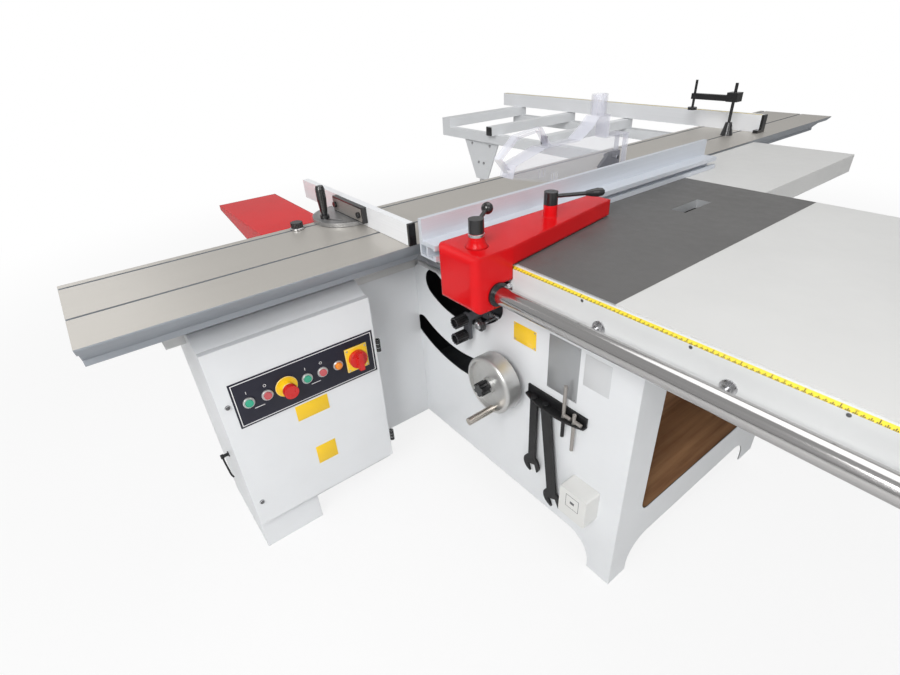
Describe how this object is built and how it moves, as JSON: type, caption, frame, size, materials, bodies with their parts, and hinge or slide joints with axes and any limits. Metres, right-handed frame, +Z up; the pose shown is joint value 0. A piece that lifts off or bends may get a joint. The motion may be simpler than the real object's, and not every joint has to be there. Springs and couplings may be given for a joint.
{
  "type": "sliding table saw",
  "caption": "Floor-standing panel saw with tilting blade, sliding table with outrigger and crosscut fence, mitre fence, rip fence on a round bar, blade guard and control cabinet.",
  "frame": {"origin": "middle of the overall footprint, on the floor", "axes": "+Z up, +Y along the blade's feed direction, +X from the sliding table towards the rip fence"},
  "size_m": [3.44, 3.6, 1.186],
  "materials": {
    "body_paint": "satin white sheet steel",
    "table_iron": "milled cast iron",
    "table_paint": "satin white table sheet",
    "insert_metal": "satin",
    "rail_paint": "satin white",
    "bar_chrome": "polished",
    "bright_steel": "bright",
    "beam_steel": "grey enamel",
    "unit_iron": "grey primer",
    "motor_paint": "grey-blue enamel",
    "knife_steel": "ground",
    "belt_rubber": "matte",
    "table_alu": "anodised, ribbed",
    "fence_alu": "anodised",
    "cast_alu": "satin casting",
    "red_paint": "gloss red",
    "black_plastic": "gloss black",
    "tool_steel": "blackened",
    "box_plastic": "satin",
    "plywood": "raw plywood",
    "green_plastic": "gloss",
    "red_plastic": "gloss",
    "clear_plastic": "clear"
  },
  "bodies": {
    "base": {"machine_body": "body_paint", "main_table": "table_iron", "table_insert": "insert_metal", "right_extension_table": "table_paint", "rear_extension_table": "table_paint", "front_rail": "rail_paint", "guide_bar": "bar_chrome", "bar_studs": "bright_steel", "control_cabinet": "body_paint", "table_base_beam": "beam_steel", "trunnion_guides": "unit_iron", "guard_post": "knife_steel", "tool_shelf": "black_plastic", "hanging_tools": "tool_steel", "junction_box": "box_plastic", "storage_shelf": "plywood"},
    "sliding": {"sliding_table": "table_alu", "outrigger_frame": "body_paint", "outrigger_bracket": "beam_steel", "hold_down_column": "black_plastic"},
    "crosscut": {"crosscut_fence": "fence_alu", "crosscut_end_foot": "black_plastic"},
    "hold_down": {"hold_down_arm": "black_plastic"},
    "carriage": {"roller_carriage": "beam_steel"},
    "wing": {"support_wing": "red_paint"},
    "wing_screw": {"wing_knob": "black_plastic"},
    "miter": {"miter_protractor": "cast_alu", "miter_fence": "fence_alu", "miter_bracket": "black_plastic"},
    "miter_screw": {"miter_grip": "black_plastic"},
    "rip_head": {"rip_fence_head": "red_paint", "head_bushes": "black_plastic"},
    "rip_bar": {"rip_fence": "fence_alu"},
    "head_lever": {"head_clamp_lever": "black_plastic"},
    "fence_lever": {"fence_clamp_lever": "black_plastic"},
    "tilt": {"tilt_frame": "unit_iron", "scoring_motor": "motor_paint"},
    "scoring_upper": {"scoring_knob_upper": "black_plastic"},
    "scoring_lower": {"scoring_knob_lower": "black_plastic"},
    "scoring": {"scoring_blade": "bright_steel"},
    "rise": {"rise_carriage": "unit_iron", "main_motor": "motor_paint", "riving_knife": "knife_steel", "drive_belt": "belt_rubber"},
    "arbor": {"saw_arbor": "bright_steel", "saw_blade": "bright_steel"},
    "pulley": {"motor_pulley": "bright_steel"},
    "wheel": {"handwheel": "cast_alu"},
    "crank": {"handwheel_handle": "bright_steel"},
    "wheel_lock": {"handwheel_knob": "black_plastic"},
    "door": {"cabinet_door": "body_paint"},
    "start_a": {"start_button_a": "green_plastic"},
    "stop_a": {"stop_button_a": "red_plastic"},
    "start_b": {"start_button_b": "green_plastic"},
    "stop_b": {"stop_button_b": "red_plastic"},
    "e_stop": {"emergency_stop": "red_plastic"},
    "switch": {"main_switch": "red_plastic"},
    "guard": {"guard_hood": "clear_plastic"},
    "swing": {"swing_arm": "beam_steel"},
    "swing_reach": {"swing_arm_extension": "bright_steel"}
  },
  "joints": [
    {"name": "sliding_table_travel", "type": "slide", "parent": "base", "child": "sliding", "axis": [0, 1, 0], "range_m": [-1.5, 0.9]},
    {"name": "roller_carriage_travel", "type": "slide", "parent": "base", "child": "carriage", "axis": [0, 1, 0], "range_m": [-0.75, 0.45]},
    {"name": "crosscut_fence_swivel", "type": "hinge", "parent": "sliding", "child": "crosscut", "pos_m": [0.069, 1.1175, 0.88], "axis": [0, 0, 1], "range_deg": [-45, 0]},
    {"name": "hold_down_height", "type": "slide", "parent": "sliding", "child": "hold_down", "axis": [0, 0, 1], "range_m": [-0.085, 0.035]},
    {"name": "support_wing_shift", "type": "slide", "parent": "sliding", "child": "wing", "axis": [0, 1, 0], "range_m": [-0.4, 0.04]},
    {"name": "wing_knob_turn", "type": "hinge", "parent": "sliding", "child": "wing_screw", "pos_m": [-0.134, -1.1935, 0.88], "axis": [0, 0, 1], "range_deg": [-180, 180]},
    {"name": "miter_swivel", "type": "hinge", "parent": "sliding", "child": "miter", "pos_m": [-0.134, -1.028, 0.88], "axis": [0, 0, 1], "range_deg": [-45, 45]},
    {"name": "miter_grip_turn", "type": "hinge", "parent": "sliding", "child": "miter_screw", "pos_m": [-0.134, -1.101, 0.88], "axis": [0, 0, 1], "range_deg": [-180, 180]},
    {"name": "rip_fence_travel", "type": "slide", "parent": "base", "child": "rip_head", "axis": [1, 0, 0], "range_m": [-0.005, 1.18]},
    {"name": "rip_fence_shift", "type": "slide", "parent": "rip_head", "child": "rip_bar", "axis": [0, 1, 0], "range_m": [-0.25, 0.2]},
    {"name": "head_lever_turn", "type": "hinge", "parent": "rip_head", "child": "head_lever", "pos_m": [0.455, -0.978, 0.93], "axis": [0, 0, 1], "range_deg": [-40, 40]},
    {"name": "fence_lever_turn", "type": "hinge", "parent": "rip_head", "child": "fence_lever", "pos_m": [0.425, -0.692, 0.93], "axis": [0, 0, 1], "range_deg": [-30, 60]},
    {"name": "blade_tilt", "type": "hinge", "parent": "base", "child": "tilt", "pos_m": [0.24, -0.5, 0.88], "axis": [0, 1, 0], "range_deg": [0, 45]},
    {"name": "blade_rise", "type": "slide", "parent": "tilt", "child": "rise", "axis": [0, 0, 1], "range_m": [-0.06, 0.02]},
    {"name": "arbor_spin", "type": "hinge", "parent": "rise", "child": "arbor", "pos_m": [0.24, -0.5, 0.785], "axis": [1, 0, 0], "continuous": true},
    {"name": "motor_spin", "type": "hinge", "parent": "rise", "child": "pulley", "pos_m": [0.24, -0.34, 0.58], "axis": [1, 0, 0], "continuous": true},
    {"name": "scoring_spin", "type": "hinge", "parent": "tilt", "child": "scoring", "pos_m": [0.24, -0.718, 0.822], "axis": [1, 0, 0], "continuous": true},
    {"name": "scoring_upper_turn", "type": "hinge", "parent": "tilt", "child": "scoring_upper", "pos_m": [0.32, -0.9, 0.652], "axis": [0, 1, 0], "range_deg": [-180, 180]},
    {"name": "scoring_lower_turn", "type": "hinge", "parent": "tilt", "child": "scoring_lower", "pos_m": [0.319, -0.9, 0.598], "axis": [0, 1, 0], "range_deg": [-180, 180]},
    {"name": "handwheel_turn", "type": "hinge", "parent": "tilt", "child": "wheel", "pos_m": [0.466, -0.9, 0.511], "axis": [0, 1, 0], "continuous": true},
    {"name": "crank_spin", "type": "hinge", "parent": "wheel", "child": "crank", "pos_m": [0.491, -0.9, 0.446], "axis": [0, 1, 0], "continuous": true},
    {"name": "wheel_lock_turn", "type": "hinge", "parent": "wheel", "child": "wheel_lock", "pos_m": [0.466, -0.9, 0.511], "axis": [0, 1, 0], "range_deg": [-90, 180]},
    {"name": "cabinet_door_swing", "type": "hinge", "parent": "base", "child": "door", "pos_m": [0.144, -1.1237, 0.425], "axis": [0, 0, 1], "range_deg": [0, 90]},
    {"name": "start_a_press", "type": "slide", "parent": "door", "child": "start_a", "axis": [-1, 0, 0], "range_m": [0, 0.003], "stiffness_N_per_m": 400},
    {"name": "stop_a_press", "type": "slide", "parent": "door", "child": "stop_a", "axis": [-1, 0, 0], "range_m": [0, 0.003], "stiffness_N_per_m": 400},
    {"name": "start_b_press", "type": "slide", "parent": "door", "child": "start_b", "axis": [-1, 0, 0], "range_m": [0, 0.003], "stiffness_N_per_m": 400},
    {"name": "stop_b_press", "type": "slide", "parent": "door", "child": "stop_b", "axis": [-1, 0, 0], "range_m": [0, 0.003], "stiffness_N_per_m": 400},
    {"name": "emergency_stop_press", "type": "slide", "parent": "door", "child": "e_stop", "axis": [-1, 0, 0], "range_m": [0, 0.005], "stiffness_N_per_m": 600},
    {"name": "main_switch_turn", "type": "hinge", "parent": "door", "child": "switch", "pos_m": [0.1455, -1.2, 0.556], "axis": [1, 0, 0], "range_deg": [0, 90]},
    {"name": "guard_lift", "type": "hinge", "parent": "base", "child": "guard", "pos_m": [0.24, -0.195, 0.985], "axis": [-1, 0, 0], "range_deg": [-2, 35]},
    {"name": "swing_arm_turn", "type": "hinge", "parent": "base", "child": "swing", "pos_m": [-0.24, -0.47, 0.48], "axis": [0, 0, 1], "range_deg": [-12, 75]},
    {"name": "swing_arm_reach", "type": "slide", "parent": "swing", "child": "swing_reach", "axis": [-0.7278, 0.6858, 0], "range_m": [-0.15, 0.45]}
  ],
  "couplings": [
    {"joint": "roller_carriage_travel", "follows": "sliding_table_travel", "ratio": 0.5},
    {"joint": "motor_spin", "follows": "arbor_spin", "ratio": 1},
    {"joint": "handwheel_turn", "follows": "blade_rise", "rad_per_m": 314.16}
  ]
}
